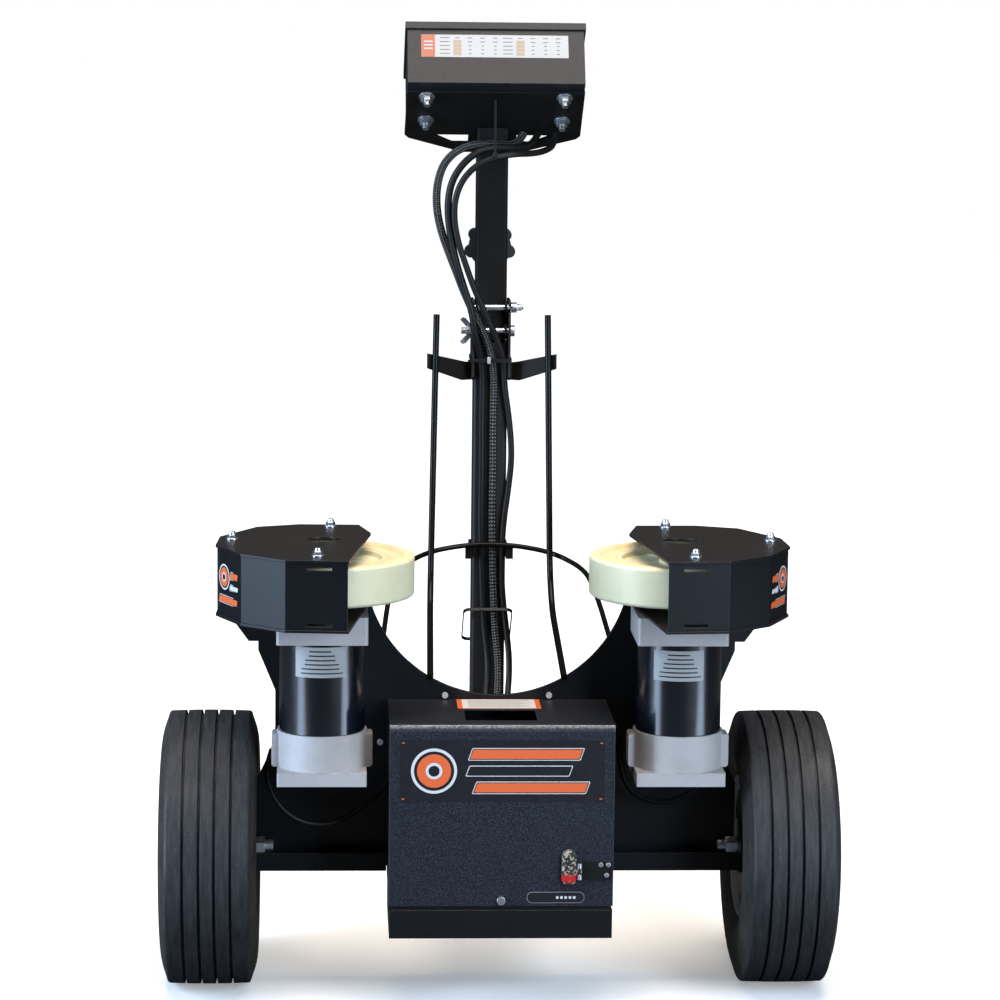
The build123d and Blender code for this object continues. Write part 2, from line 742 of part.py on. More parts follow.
with BuildPart() as leg_knob:
    with BuildSketch(side_view(leg_half + 1.5, y=leg_y, z=110)):
        Circle(4)
    extrude(amount=14)
    with BuildSketch(side_view(sleeve_half + 0.3, y=leg_y, z=110)):
        Circle(9)
    extrude(amount=8)
    with BuildSketch(side_view(sleeve_half + 8.3, y=leg_y, z=110)):
        Circle(17)
        with PolarLocations(15, 6):
            Circle(5)
    extrude(amount=14)
save(leg_knob, "leg_knob")

# ---------------------------------------------------------------- control box
bolt_places = ((-85.4, 26), (85.4, 26), (-85.4, 83), (85.4, 83))
with BuildPart() as control_box:
    with BuildSketch(console(0)):
        with Locations((0, console_depth / 2)):
            Rectangle(2 * console_half, console_depth)
    extrude(amount=console_height)
    with BuildSketch(console(2)):
        with Locations((0, console_depth / 2)):
            Rectangle(2 * console_half - 4, console_depth - 4)
    extrude(amount=console_height, mode=Mode.SUBTRACT)
    with BuildSketch(console(-1)):
        with Locations(*bolt_places):
            Circle(4)
    extrude(amount=5, mode=Mode.SUBTRACT)
save(control_box, "control_box")

with BuildPart() as control_panel:
    with BuildSketch(console(console_height - 7.5)):
        with Locations((0, console_depth / 2)):
            Rectangle(2 * console_half + 5, console_depth + 5)
            Rectangle(2 * console_half, console_depth, mode=Mode.SUBTRACT)
    extrude(amount=7.5)
    with BuildSketch(console(console_height)):
        with Locations((0, console_depth / 2)):
            Rectangle(2 * console_half + 5, console_depth + 5)
        with Locations((-55, 62), (55, 62)):
            Circle(4 + running_gap, mode=Mode.SUBTRACT)
        with Locations((0, 62)):
            Rectangle(16, 26, mode=Mode.SUBTRACT)
    extrude(amount=2)
    with BuildSketch(console(console_height + 2)):
        with Locations((0, 62)):
            RectangleRounded(27, 37, 3)
            Rectangle(16, 26, mode=Mode.SUBTRACT)
    extrude(amount=2)
    with BuildSketch(console(console_height - 16)):
        with Locations((0, 62)):
            Rectangle(20, 30)
            Rectangle(16, 26, mode=Mode.SUBTRACT)
    extrude(amount=16)
save(control_panel, "control_panel")

with BuildPart() as mount_plate:
    with BuildSketch(console(-mount_thick)):
        with BuildLine():
            Polyline((0, 16), (110, 16), (111, 122), (106, 130), (47, 160), (40, mount_end), (0, mount_end))
            Line((0, mount_end), (0, 16))
        make_face()
        mirror(about=Plane.YZ)
        for end in (-1, 1):
            with BuildLine():
                Polyline((end * 30.5, 121), (end * 75, 121), (end * 76, 122.5), (end * 51, 143), (end * 30.5, 143),
                         close=True)
            make_face(mode=Mode.SUBTRACT)
        with Locations(*bolt_places):
            Circle(4, mode=Mode.SUBTRACT)
    extrude(amount=mount_thick)
save(mount_plate, "mount_plate")

with BuildPart() as console_bolts:
    with BuildSketch(console(-mount_thick - 14)):
        with Locations(*bolt_places):
            Circle(4)
    extrude(amount=14 + mount_thick + 2)
    with BuildSketch(console(-mount_thick - 2)):
        with Locations(*bolt_places):
            Circle(10)
    extrude(amount=2)
    with BuildSketch(console(-mount_thick - 8.5)):
        with Locations(*bolt_places):
            RegularPolygon(radius=7.4, side_count=6)
    extrude(amount=6.5)
    with BuildSketch(console(2)):
        with Locations(*bolt_places):
            RegularPolygon(radius=7.4, side_count=6)
    extrude(amount=5)
save(console_bolts, "console_bolts")

for side, hand in SIDES:
    with BuildPart() as speed_knob:
        with BuildSketch(console(console_height + 2.3)):
            with Locations((side * 55, 62)):
                Circle(18)
        extrude(amount=4, taper=-6)
        with BuildSketch(console(console_height + 6.3)):
            with Locations((side * 55, 62)):
                Circle(15)
                with PolarLocations(15, 12):
                    Circle(2.2)
        extrude(amount=12)
        with BuildSketch(console(console_height - 12)):
            with Locations((side * 55, 62)):
                Circle(4)
        extrude(amount=16)
    save(speed_knob, f"speed_knob_{hand}")

rocker_plane = Plane(origin=console(console_height + 1, rear=62).origin, x_dir=(0, tilt_cos, -tilt_sin),
                     z_dir=(1, 0, 0))
with BuildPart() as power_switch:
    with BuildSketch(rocker_plane.offset(-7.5)):
        with BuildLine():
            Polyline((-10.5, 0), (-10.5, 3.5), (0, 1.5), (10.5, 6), (10.5, 1), (7, -4), (0, -6), (-7, -5),
                     close=True)
        make_face()
    extrude(amount=15)
save(power_switch, "power_switch")

# ---------------------------------------------------------------- cables and motor leads
cable_left = ((39, 275.8, 1015.5), (30, 263.5, 1001), (4, 250.5, 1003), (-20, 243, 1003.5), (-38, 237, 999.5),
              (-53, 234.5, 990.5), (-65, 235, 975),
              (-71.5, 238, 949), (-71, 241, 921), (-65, 244, 894), (-55.5, 247, 868), (-45, 248.6, 842),
              (-35, 249.2, 816), (-22.5, 249, 790), (-9, 249.5, 764), (1.5, 258.5, 736), (4.5, 263.2, 706),
              (3.5, 263, 654), (4.2, 263.2, 600), (3.5, 263, 542), (4.5, 263.2, 482), (6.5, 263, 428),
              (8.5, 262.4, 384), (13.5, 255, 341), (12, 234, 302), (7, 197, 272), (3, 150, 249), (0, 99, 234),
              (0, 50, 226.5), (0, 8, 225))
cable_middle = ((57, 275.8, 1015.5), (49, 262, 1000.5), (28, 246, 998.5), (6, 233, 1000.5), (-8, 227, 998.5),
                (-23, 224.5, 993.5), (-40, 224, 979),
                (-53, 226, 958), (-57.5, 228, 933), (-56.5, 230, 907), (-51.5, 232, 878), (-44, 235, 848),
                (-34.5, 238.6, 820), (-25, 237.5, 792), (-21.5, 242, 764), (-13, 257.5, 735), (-10.5, 263.5, 704),
                (-11, 263.7, 652), (-10.3, 263.5, 598), (-11, 263.7, 540), (-9.5, 263.5, 480), (-7.5, 263.7, 428),
                (-4.5, 262.4, 382), (1, 255, 338), (-4, 232, 299), (-10, 195, 269), (-13.5, 147, 247),
                (-14, 97, 233.5), (-15, 50, 226.5), (-14, 8, 225))
cable_right = ((79, 276.3, 1016.7), (77.5, 267.5, 1001.5), (64, 253, 994.5), (46, 238, 992), (25, 221, 992.5),
               (-1, 214, 988),
               (-22, 215, 979), (-39.5, 217, 961), (-48.5, 220, 938), (-50, 223, 912), (-44.5, 226, 882),
               (-34, 229, 852), (-23, 233, 822), (-9, 240, 792), (6, 248, 760), (16.5, 257.5, 731),
               (17, 262.8, 700), (24.5, 264.2, 653), (28.3, 264, 607), (24, 264.2, 564), (18, 264, 520),
               (16, 264.2, 470), (18, 264, 426), (23.5, 262.4, 384), (28, 255, 342), (25, 234, 303),
               (19, 197, 274), (15.5, 149, 251), (14, 98, 235.5), (15, 50, 227), (14, 8, 225))
cord("control_cable_left", cable_left, 10)
cord("control_cable_middle", cable_middle, 9)
cord("control_cable_right", cable_right, 8)

lead_left = ((-270.5, -56, 297), (-275, -56, 284), (-277, -54, 262), (-269, -50, 236), (-251, -46, 214),
             (-227, -42, 202), (-200, -38, 201), (-176, -35, 212), (-154, -32, 229), (-131, -30, 250))
lead_right = ((246, -42, 267.9), (244, -41, 254), (231, -36, 237), (210, -29, 226.5), (188, -24, 225),
              (168, -19, 232), (154.5, -14, 248), (149.5, -10, 270), (148, -9, 291), (141, -12, 308),
              (131, -15, 319))
for points, hand in ((lead_left, "left"), (lead_right, "right")):
    cord(f"motor_lead_{hand}", points, 7)
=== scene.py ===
import bpy
import bmesh
import math
from mathutils import Matrix, Vector


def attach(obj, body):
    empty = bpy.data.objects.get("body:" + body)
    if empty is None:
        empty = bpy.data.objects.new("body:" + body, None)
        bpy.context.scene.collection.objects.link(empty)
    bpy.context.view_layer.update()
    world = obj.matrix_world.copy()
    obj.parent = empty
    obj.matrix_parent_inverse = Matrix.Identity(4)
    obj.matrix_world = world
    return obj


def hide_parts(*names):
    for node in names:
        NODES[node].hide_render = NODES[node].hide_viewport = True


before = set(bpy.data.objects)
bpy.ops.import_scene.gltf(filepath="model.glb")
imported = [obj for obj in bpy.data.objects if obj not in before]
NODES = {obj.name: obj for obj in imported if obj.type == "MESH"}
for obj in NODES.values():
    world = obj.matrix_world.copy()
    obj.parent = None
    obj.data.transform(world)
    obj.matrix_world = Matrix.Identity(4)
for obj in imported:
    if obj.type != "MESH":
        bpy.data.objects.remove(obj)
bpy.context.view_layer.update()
MM = 0.001
AXLE_Y = -0.100
WHEEL_RADIUS = 0.165
SIDES = ((-1, "left"), (1, "right"))


# ---------------------------------------------------------------- camera
def set_camera():
    """The camera stands slightly left of the middle and looks a little down at the machine."""
    yaw, pitch, roll = math.radians(2.84), math.radians(8.41), math.radians(-0.64)
    ahead = Vector((math.sin(yaw) * math.cos(pitch), math.cos(yaw) * math.cos(pitch), -math.sin(pitch)))
    right = Vector((math.cos(yaw), -math.sin(yaw), 0))
    down = ahead.cross(right)
    across = right * math.cos(roll) + down * math.sin(roll)
    below = down * math.cos(roll) - right * math.sin(roll)
    data = bpy.data.cameras.new("camera")
    data.sensor_width = 36
    data.lens = 122.4
    data.clip_end = 50
    camera = bpy.data.objects.new("camera", data)
    bpy.context.scene.collection.objects.link(camera)
    turn = Matrix((across, -below, -ahead)).transposed().to_4x4()
    camera.matrix_world = Matrix.Translation((-0.199, AXLE_Y - 4.022, 1.185)) @ turn
    bpy.context.scene.camera = camera


set_camera()


# ---------------------------------------------------------------- material building
def node(tree, kind, inputs=None, **settings):
    """A shader node with its settings, and with inputs given as values or as sockets to link."""
    made = tree.nodes.new(kind)
    for key, value in settings.items():
        setattr(made, key, value)
    for key, value in (inputs or {}).items():
        if isinstance(value, bpy.types.NodeSocket):
            tree.links.new(value, made.inputs[key])
        else:
            made.inputs[key].default_value = value
    return made


def color(r, g, b):
    return (r, g, b, 1.0)


def new_material(name):
    material = bpy.data.materials.new(name)
    material.use_nodes = True
    tree = material.node_tree
    tree.nodes.clear()
    out = node(tree, "ShaderNodeOutputMaterial")
    shader = node(tree, "ShaderNodeBsdfPrincipled")
    tree.links.new(shader.outputs[0], out.inputs[0])
    return material, tree, shader


def place(tree, scale=(1, 1, 1), turn=(0, 0, 0)):
    """Object coordinates in metres, scaled per axis."""
    coordinates = node(tree, "ShaderNodeTexCoord")
    mapping = node(tree, "ShaderNodeMapping", {"Vector": coordinates.outputs["Object"], "Scale": scale,
                                               "Rotation": turn})
    return mapping.outputs[0]


def noise(tree, where, scale, detail=3.0, rough=0.5):
    made = node(tree, "ShaderNodeTexNoise", {"Vector": where, "Scale": scale, "Detail": detail,
                                             "Roughness": rough})
    return made.outputs["Fac"]


def ramp(tree, value, *stops):
    """Maps a value to colours or greys: stops are (position, colour or grey)."""
    made = node(tree, "ShaderNodeValToRGB", {"Fac": value})
    line = made.color_ramp
    while len(line.elements) < len(stops):
        line.elements.new(0.5)
    for element, (position, shade) in zip(line.elements, stops):
        element.position = position
        element.color = shade if isinstance(shade, tuple) else color(shade, shade, shade)
    return made.outputs["Color"]


def mix(tree, amount, first, second, mode="MIX"):
    made = node(tree, "ShaderNodeMix", data_type="RGBA", blend_type=mode)
    for socket, value in ((made.inputs[0], amount), (made.inputs[6], first), (made.inputs[7], second)):
        if isinstance(value, bpy.types.NodeSocket):
            tree.links.new(value, socket)
        else:
            socket.default_value = value
    return made.outputs[2]


def math_node(tree, operation, first, second=0.5):
    made = node(tree, "ShaderNodeMath", operation=operation)
    for socket, value in ((made.inputs[0], first), (made.inputs[1], second)):
        if isinstance(value, bpy.types.NodeSocket):
            tree.links.new(value, socket)
        else:
            socket.default_value = value
    return made.outputs[0]


def bump(tree, height, strength, depth, normal=None):
    made = node(tree, "ShaderNodeBump", {"Height": height, "Strength": strength, "Distance": depth})
    if normal is not None:
        tree.links.new(normal, made.inputs["Normal"])
    return made.outputs[0]


def soft_edge(tree, radius):
    """A normal that rounds sharp edges, so that they catch the light as bent and painted sheet does."""
    return node(tree, "ShaderNodeBevel", {"Radius": radius}, samples=4).outputs[0]


def painted_top_light_mask(tree):
    """1 on surfaces that face up, 0 on upright ones: the mask by which top faces get painted light."""
    geometry = node(tree, "ShaderNodeNewGeometry")
    split = node(tree, "ShaderNodeSeparateXYZ", {"Vector": geometry.outputs["Normal"]})
    return ramp(tree, split.outputs["Z"], (0.35, 0.0), (0.95, 1.0))


def edge_wear(tree, radius, low, high):
    """1 along convex edges where paint wears, broken up by noise."""
    geometry = node(tree, "ShaderNodeNewGeometry")
    rounded = soft_edge(tree, radius)
    dot = node(tree, "ShaderNodeVectorMath", {0: geometry.outputs["Normal"], 1: rounded},
               operation="DOT_PRODUCT").outputs["Value"]
    edge = math_node(tree, "SUBTRACT", 1.0, dot)
    broken = noise(tree, place(tree), 220, 4, 0.7)
    return ramp(tree, math_node(tree, "MULTIPLY", edge, broken), (low, 0.0), (high, 1.0))


def powder(name, side, top, grain, depth, rough, wear=0.25, speckle=None, shine=0.25):
    """Black powder coat: side and top colours, the top one painted light on upward faces rather than a second
    paint; grain size per metre, bump depth, and pale specks if given.
    """
    material, tree, shader = new_material(name)
    where = place(tree)
    fine = noise(tree, where, grain, 3, 0.6)
    cloudy = noise(tree, where, 9, 4, 0.6)
    # Painted light: upward faces take the top colour and upright faces the side colour, for how the lamps
    # fall on them.
    base = mix(tree, painted_top_light_mask(tree), color(*side), color(*top))
    base = mix(tree, ramp(tree, cloudy, (0.35, 0.0), (0.7, 0.35)), base, color(*[1.5 * v for v in side]))
    if speckle:
        spots = ramp(tree, noise(tree, where, grain * 0.8, 2, 0.5), (0.49, 0.0), (0.63, 1.0))
        base = mix(tree, math_node(tree, "MULTIPLY", spots, 0.75), base, color(*speckle))
    base = mix(tree, math_node(tree, "MULTIPLY", edge_wear(tree, 0.0012, 0.03, 0.2), wear), base,
               color(0.20, 0.20, 0.21))
    tree.links.new(base, shader.inputs["Base Color"])
    roughness = ramp(tree, fine, (0.3, rough - 0.08), (0.7, rough + 0.10))
    tree.links.new(roughness, shader.inputs["Roughness"])
    tree.links.new(bump(tree, fine, 0.5, depth, soft_edge(tree, 0.0012)), shader.inputs["Normal"])
    shader.inputs["Specular IOR Level"].default_value = shine
    return material


def painted_bend_highlight(material):
    """A pale band painted along the top front edge of the box cover, standing in for the highlight on its
    bend.
    """
    tree = material.node_tree
    shader = next(item for item in tree.nodes if item.type == "BSDF_PRINCIPLED")
    socket = shader.inputs["Base Color"]
    painted = socket.links[0].from_socket
    coordinates = node(tree, "ShaderNodeTexCoord")
    split = node(tree, "ShaderNodeSeparateXYZ", {"Vector": coordinates.outputs["Object"]})
    high = ramp(tree, split.outputs["Z"], (0.3395, 0.0), (0.3420, 1.0))
    front = ramp(tree, math_node(tree, "MULTIPLY", split.outputs["Y"], -1.0), (0.2355, 0.0), (0.2380, 1.0))
    broken = ramp(tree, noise(tree, place(tree), 600, 3, 0.7), (0.42, 0.2), (0.56, 1.0))
    amount = math_node(tree, "MULTIPLY", math_node(tree, "MULTIPLY", high, front), broken)
    tree.links.new(mix(tree, amount, painted, color(0.50, 0.43, 0.41)), socket)


def band_on_cap(material):
    """A red band across the lower part of the charger cap."""
    tree = material.node_tree
    shader = next(item for item in tree.nodes if item.type == "BSDF_PRINCIPLED")
    socket = shader.inputs["Base Color"]
    plain = socket.links[0].from_socket
    coordinates = node(tree, "ShaderNodeTexCoord")
    split = node(tree, "ShaderNodeSeparateXYZ", {"Vector": coordinates.outputs["Object"]})
    band = ramp(tree, split.outputs["Z"], (0.1562, 0.0), (0.1566, 1.0), (0.1645, 1.0), (0.1650, 0.0))
    low = ramp(tree, split.outputs["Z"], (0.1530, 1.0), (0.1562, 0.0))
    banded = mix(tree, band, plain, color(0.50, 0.015, 0.015))
    tree.links.new(mix(tree, low, banded, color(0.008, 0.008, 0.008)), socket)


def gloss(name, base, rough, coat=0.0, metallic=0.0, grain=40, scuff=0.08, shine=0.5,
          relief=0.12):
    """A smooth painted, plated or moulded surface with faint scuffs."""
    material, tree, shader = new_material(name)
    where = place(tree)
    scuffs = noise(tree, where, grain, 6, 0.7)
    tint = mix(tree, ramp(tree, scuffs, (0.4, 0.0), (0.75, 0.6)), color(*base),
               color(*[1.6 * v for v in base]))
    tree.links.new(tint, shader.inputs["Base Color"])
    tree.links.new(ramp(tree, scuffs, (0.3, rough), (0.75, rough + scuff)), shader.inputs["Roughness"])
    shader.inputs["Metallic"].default_value = metallic
    shader.inputs["Specular IOR Level"].default_value = shine
    shader.inputs["Coat Weight"].default_value = coat
    shader.inputs["Coat Roughness"].default_value = 0.08
    tree.links.new(bump(tree, noise(tree, where, 700, 2), relief, 0.0001, soft_edge(tree, 0.0006)),
                   shader.inputs["Normal"])
    return material


def metal(name, base, rough, grain, depth, tone=0.12, dirt=0.3, bare=1.0):
    """Bare or plated metal with casting or turning texture and some grime."""
    material, tree, shader = new_material(name)
    where = place(tree)
    grime = noise(tree, where, 28, 5, 0.65)
    dull = mix(tree, ramp(tree, grime, (0.45, 0.0), (0.8, dirt)), color(*base), color(0.10, 0.09, 0.08))
    tree.links.new(dull, shader.inputs["Base Color"])
    shader.inputs["Metallic"].default_value = bare
    fine = noise(tree, where, grain, 3, 0.6)
    tree.links.new(ramp(tree, fine, (0.3, rough - tone / 2), (0.7, rough + tone)), shader.inputs["Roughness"])
    tree.links.new(bump(tree, fine, 0.4, depth, soft_edge(tree, 0.0008)), shader.inputs["Normal"])
    return material


def tyre_material(name, centre_x):
    """Ribbed tread, scuffed where it runs, and dusty brown sidewalls with moulded rings."""
    material, tree, shader = new_material(name)
    coordinates = node(tree, "ShaderNodeTexCoord")
    split = node(tree, "ShaderNodeSeparateXYZ", {"Vector": coordinates.outputs["Object"]})
    offset = math_node(tree, "ABSOLUTE", math_node(tree, "SUBTRACT", split.outputs["X"], centre_x))
    sidewall = ramp(tree, math_node(tree, "MULTIPLY", offset, 10.0), (0.485, 0.0), (0.515, 1.0))
    y = math_node(tree, "SUBTRACT", split.outputs["Y"], AXLE_Y)
    z = math_node(tree, "SUBTRACT", split.outputs["Z"], WHEEL_RADIUS)
    radius = math_node(tree, "SQRT", math_node(tree, "ADD", math_node(tree, "MULTIPLY", y, y),
                                               math_node(tree, "MULTIPLY", z, z)))
    around = node(tree, "ShaderNodeCombineXYZ", {
        "X": math_node(tree, "MULTIPLY", split.outputs["X"], 60.0),
        "Y": math_node(tree, "MULTIPLY", math_node(tree, "ARCTAN2", y, z), 1.1)}).outputs[0]
    streaks = noise(tree, around, 3.0, 7, 0.72)
    patches = noise(tree, place(tree), 26, 5, 0.7)
    tread = mix(tree, ramp(tree, streaks, (0.38, 0.0), (0.72, 1.0)), color(0.010, 0.011, 0.013),
                color(0.038, 0.038, 0.042))
    flank = mix(tree, ramp(tree, patches, (0.35, 0.0), (0.7, 1.0)), color(0.016, 0.0135, 0.011),
                color(0.040, 0.033, 0.027))
    base = mix(tree, sidewall, tread, flank)
    grit = ramp(tree, noise(tree, place(tree), 420, 2, 0.5), (0.66, 0.0), (0.74, 1.0))
    base = mix(tree, math_node(tree, "MULTIPLY", grit, 0.35), base, color(0.14, 0.135, 0.125))
    tree.links.new(base, shader.inputs["Base Color"])
    tree.links.new(ramp(tree, patches, (0.3, 0.50), (0.7, 0.72)), shader.inputs["Roughness"])
    shader.inputs["Specular IOR Level"].default_value = 0.35
    fine = mix(tree, 0.5, noise(tree, around, 9.0, 6, 0.7), noise(tree, place(tree), 300, 3, 0.6))
    rings = ramp(tree, math_node(tree, "MULTIPLY", radius, 6.0), (0.570, 0.0), (0.574, 1.0), (0.582, 1.0),
                 (0.586, 0.0), (0.640, 0.0), (0.644, 1.0), (0.650, 1.0), (0.654, 0.0), (0.880, 0.0),
                 (0.884, 1.0), (0.892, 1.0), (0.896, 0.0))
    height = mix(tree, math_node(tree, "MULTIPLY", sidewall, 0.5), fine, rings)
    tree.links.new(bump(tree, height, 0.6, 0.0008, soft_edge(tree, 0.0012)), shader.inputs["Normal"])
    return material


def urethane(name, side, top):
    """Cast polyurethane: creamier on top as painted light from above, slightly translucent, with dirt from
    balls.
    """
    material, tree, shader = new_material(name)
    where = place(tree)
    # Painted light: the top colour on upward faces, the side colour on upright ones.
    base = mix(tree, painted_top_light_mask(tree), color(*side), color(*top))
    dirt = ramp(tree, noise(tree, where, 30, 7, 0.7), (0.5, 0.0), (0.85, 0.5))
    base = mix(tree, dirt, base, color(0.45, 0.42, 0.28))
    tree.links.new(base, shader.inputs["Base Color"])
    shader.inputs["Subsurface Weight"].default_value = 0.35
    shader.inputs["Subsurface Radius"].default_value = (0.012, 0.010, 0.006)
    shader.inputs["Subsurface Scale"].default_value = 1.0
    tree.links.new(ramp(tree, noise(tree, where, 60, 4), (0.3, 0.35), (0.7, 0.5)), shader.inputs["Roughness"])
    tree.links.new(bump(tree, noise(tree, where, 160, 4, 0.6), 0.25, 0.0004, soft_edge(tree, 0.002)),
                   shader.inputs["Normal"])
    return material


def braid(name):
    """Braided sleeve: two sets of slanting strands, from the tube's own coordinates, with painted glints
    where strands cross and painted shade between them.
    """
    material, tree, shader = new_material(name)
    uv = node(tree, "ShaderNodeTexCoord").outputs["UV"]
    split = node(tree, "ShaderNodeSeparateXYZ", {"Vector": uv})
    along = math_node(tree, "MULTIPLY", split.outputs["X"], 170.0)
    across = math_node(tree, "MULTIPLY", split.outputs["Y"], 4.0)
    waves = []
    for operation in ("ADD", "SUBTRACT"):
        phase = math_node(tree, "MULTIPLY", math_node(tree, operation, along, across), 2 * math.pi)
        waves.append(math_node(tree, "SINE", phase, 0.0))
    weave = math_node(tree, "MULTIPLY", waves[0], waves[1])
    # Painted highlight and shade: pale where the strands cross, for their glints, and near black in the gaps
    # between them.
    shade = ramp(tree, weave, (0.20, color(0.004, 0.004, 0.004)), (0.60, color(0.030, 0.029, 0.028)),
                 (0.90, color(0.26, 0.255, 0.245)))
    tree.links.new(shade, shader.inputs["Base Color"])
    shader.inputs["Roughness"].default_value = 0.50
    tree.links.new(bump(tree, weave, 0.9, 0.0008), shader.inputs["Normal"])
    return material


def flat_print(name, base, rough=0.42):
    """Printed film: a nearly even colour with faint scuffs."""
    material, tree, shader = new_material(name)
    scuffs = noise(tree, place(tree), 55, 5, 0.7)
    tint = mix(tree, ramp(tree, scuffs, (0.5, 0.0), (0.85, 0.35)), color(*base),
               color(*[0.72 * v + 0.03 for v in base]))
    tree.links.new(tint, shader.inputs["Base Color"])
    shader.inputs["Roughness"].default_value = rough
    tree.links.new(bump(tree, noise(tree, place(tree), 500, 2), 0.1, 0.0001), shader.inputs["Normal"])
    return material


# The side and top colours of each coat below differ as painted light and shade, not as two paints.
COAT = powder("powder_coat", (0.0040, 0.0046, 0.0062), (0.0160, 0.0130, 0.0110), 900, 0.00035, 0.36)
MAST_COAT = powder("mast_coat", (0.0170, 0.0152, 0.0140), (0.0130, 0.0105, 0.0085), 800, 0.0004, 0.46)
# Painted shade: a darker copy of the mast coat for the upper mast and the mount plate, which stand in shade
# under the top plate.
SHADED_MAST_COAT = powder("shaded_mast_coat", (0.0052, 0.0046, 0.0042), (0.010, 0.009, 0.008), 800, 0.0004, 0.55, 0.25,
                   None, 0.12)
BRACKET_COAT = powder("bracket_coat", (0.0085, 0.0072, 0.0056), (0.012, 0.010, 0.008), 800, 0.0004, 0.55,
                      0.25, None, 0.10)
CASE_COAT = powder("console_coat", (0.0090, 0.0100, 0.0130), (0.0130, 0.0145, 0.0185), 650, 0.0007, 0.46)
CRINKLE = powder("crinkle_coat", (0.0075, 0.0085, 0.0120), (0.0060, 0.0052, 0.0050), 1000, 0.0008, 0.38, 0.6,
                 (0.046, 0.052, 0.074))
# Painted highlight along the cover's top front bend.
painted_bend_highlight(CRINKLE)
TRAY_COAT = powder("tray_coat", (0.0045, 0.0048, 0.0056), (0.0120, 0.0105, 0.0095), 700, 0.0005, 0.40)
ROD_COAT = gloss("rod_gloss", (0.005, 0.0045, 0.004), 0.16, 0.0, 0.0, 40, 0.10, 0.12, 0.0)
CAN_GLOSS = gloss("can_gloss", (0.002, 0.003, 0.006), 0.20, 0.5, 0.0, 40, 0.05, 0.5, 0.04)
KNOB = gloss("moulded_black", (0.014, 0.014, 0.014), 0.42, 0.0, 0.0, 90)
CASE = gloss("battery_case", (0.020, 0.020, 0.023), 0.5)
HOSE = gloss("cable_jacket", (0.0058, 0.0054, 0.0050), 0.42, 0.0, 0.0, 120, 0.10, 0.24, 0.04)
CAST = metal("cast_alloy", (0.46, 0.43, 0.425), 0.62, 520, 0.0006, 0.10, 0.18, 0.25)
ZINC = metal("zinc_plate", (0.62, 0.65, 0.71), 0.30, 600, 0.0001, 0.10, 0.15)
STEEL = metal("turned_steel", (0.56, 0.56, 0.57), 0.30, 300, 0.0001)
RIM = gloss("rim_paint", (0.26, 0.26, 0.27), 0.40, 0.0, 0.2, 60, 0.2)
# Painted light: one cream, warmer on top faces and paler and greener on upright ones for how the light falls;
# the hub the same.
CREAM_AS_LIT_ON_SIDES = (0.67, 0.645, 0.45)
CREAM_AS_LIT_ON_TOP = (0.90, 0.71, 0.42)
URETHANE = urethane("urethane_tyre", CREAM_AS_LIT_ON_SIDES, CREAM_AS_LIT_ON_TOP)
HUB = urethane("urethane_hub", (0.72, 0.66, 0.42), (0.88, 0.79, 0.50))
BRAID = braid("braided_sleeve")
STRAP = gloss("strap_rubber", (0.004, 0.004, 0.0045), 0.6, 0.0, 0.0, 90, 0.08, 0.2)
TIE = gloss("tie_nylon", (0.004, 0.004, 0.004), 0.45, 0.0, 0.0, 120, 0.08, 0.25)
DARK_ZINC = metal("dull_screws", (0.62, 0.58, 0.56), 0.45, 600, 0.0001, 0.12, 0.3, 0.3)
DULL_ZINC = metal("dull_zinc", (0.40, 0.41, 0.43), 0.40, 600, 0.0001, 0.12, 0.3)
CAP = powder("cap_rubber", (0.020, 0.017, 0.014), (0.03, 0.025, 0.02), 420, 0.0008, 0.55, 0.0,
             (0.55, 0.47, 0.37))
band_on_cap(CAP)
FOOT = powder("foot_rubber", (0.012, 0.012, 0.012), (0.016, 0.015, 0.014), 500, 0.0006, 0.7, 0.0)
WHITE = flat_print("print_white", (0.62, 0.63, 0.64))
ORANGE = flat_print("print_orange", (0.72, 0.125, 0.035))
INK = flat_print("print_black", (0.011, 0.011, 0.015), 0.3)
GREY = flat_print("print_grey", (0.22, 0.22, 0.23))
FILM = flat_print("plate_film", (0.33, 0.33, 0.33))
# Painted shade: the console print in darker copies of the print colours, for the light on the console.
CONSOLE_SHADED_WHITE = flat_print("console_shaded_white", (0.265, 0.28, 0.305))
CONSOLE_SHADED_ORANGE = flat_print("console_shaded_orange", (0.27, 0.048, 0.016))
CONSOLE_SHADED_PALE = flat_print("console_shaded_pale", (0.235, 0.165, 0.12))
CONSOLE_SHADED_GREY = flat_print("console_shaded_grey", (0.055, 0.055, 0.058))

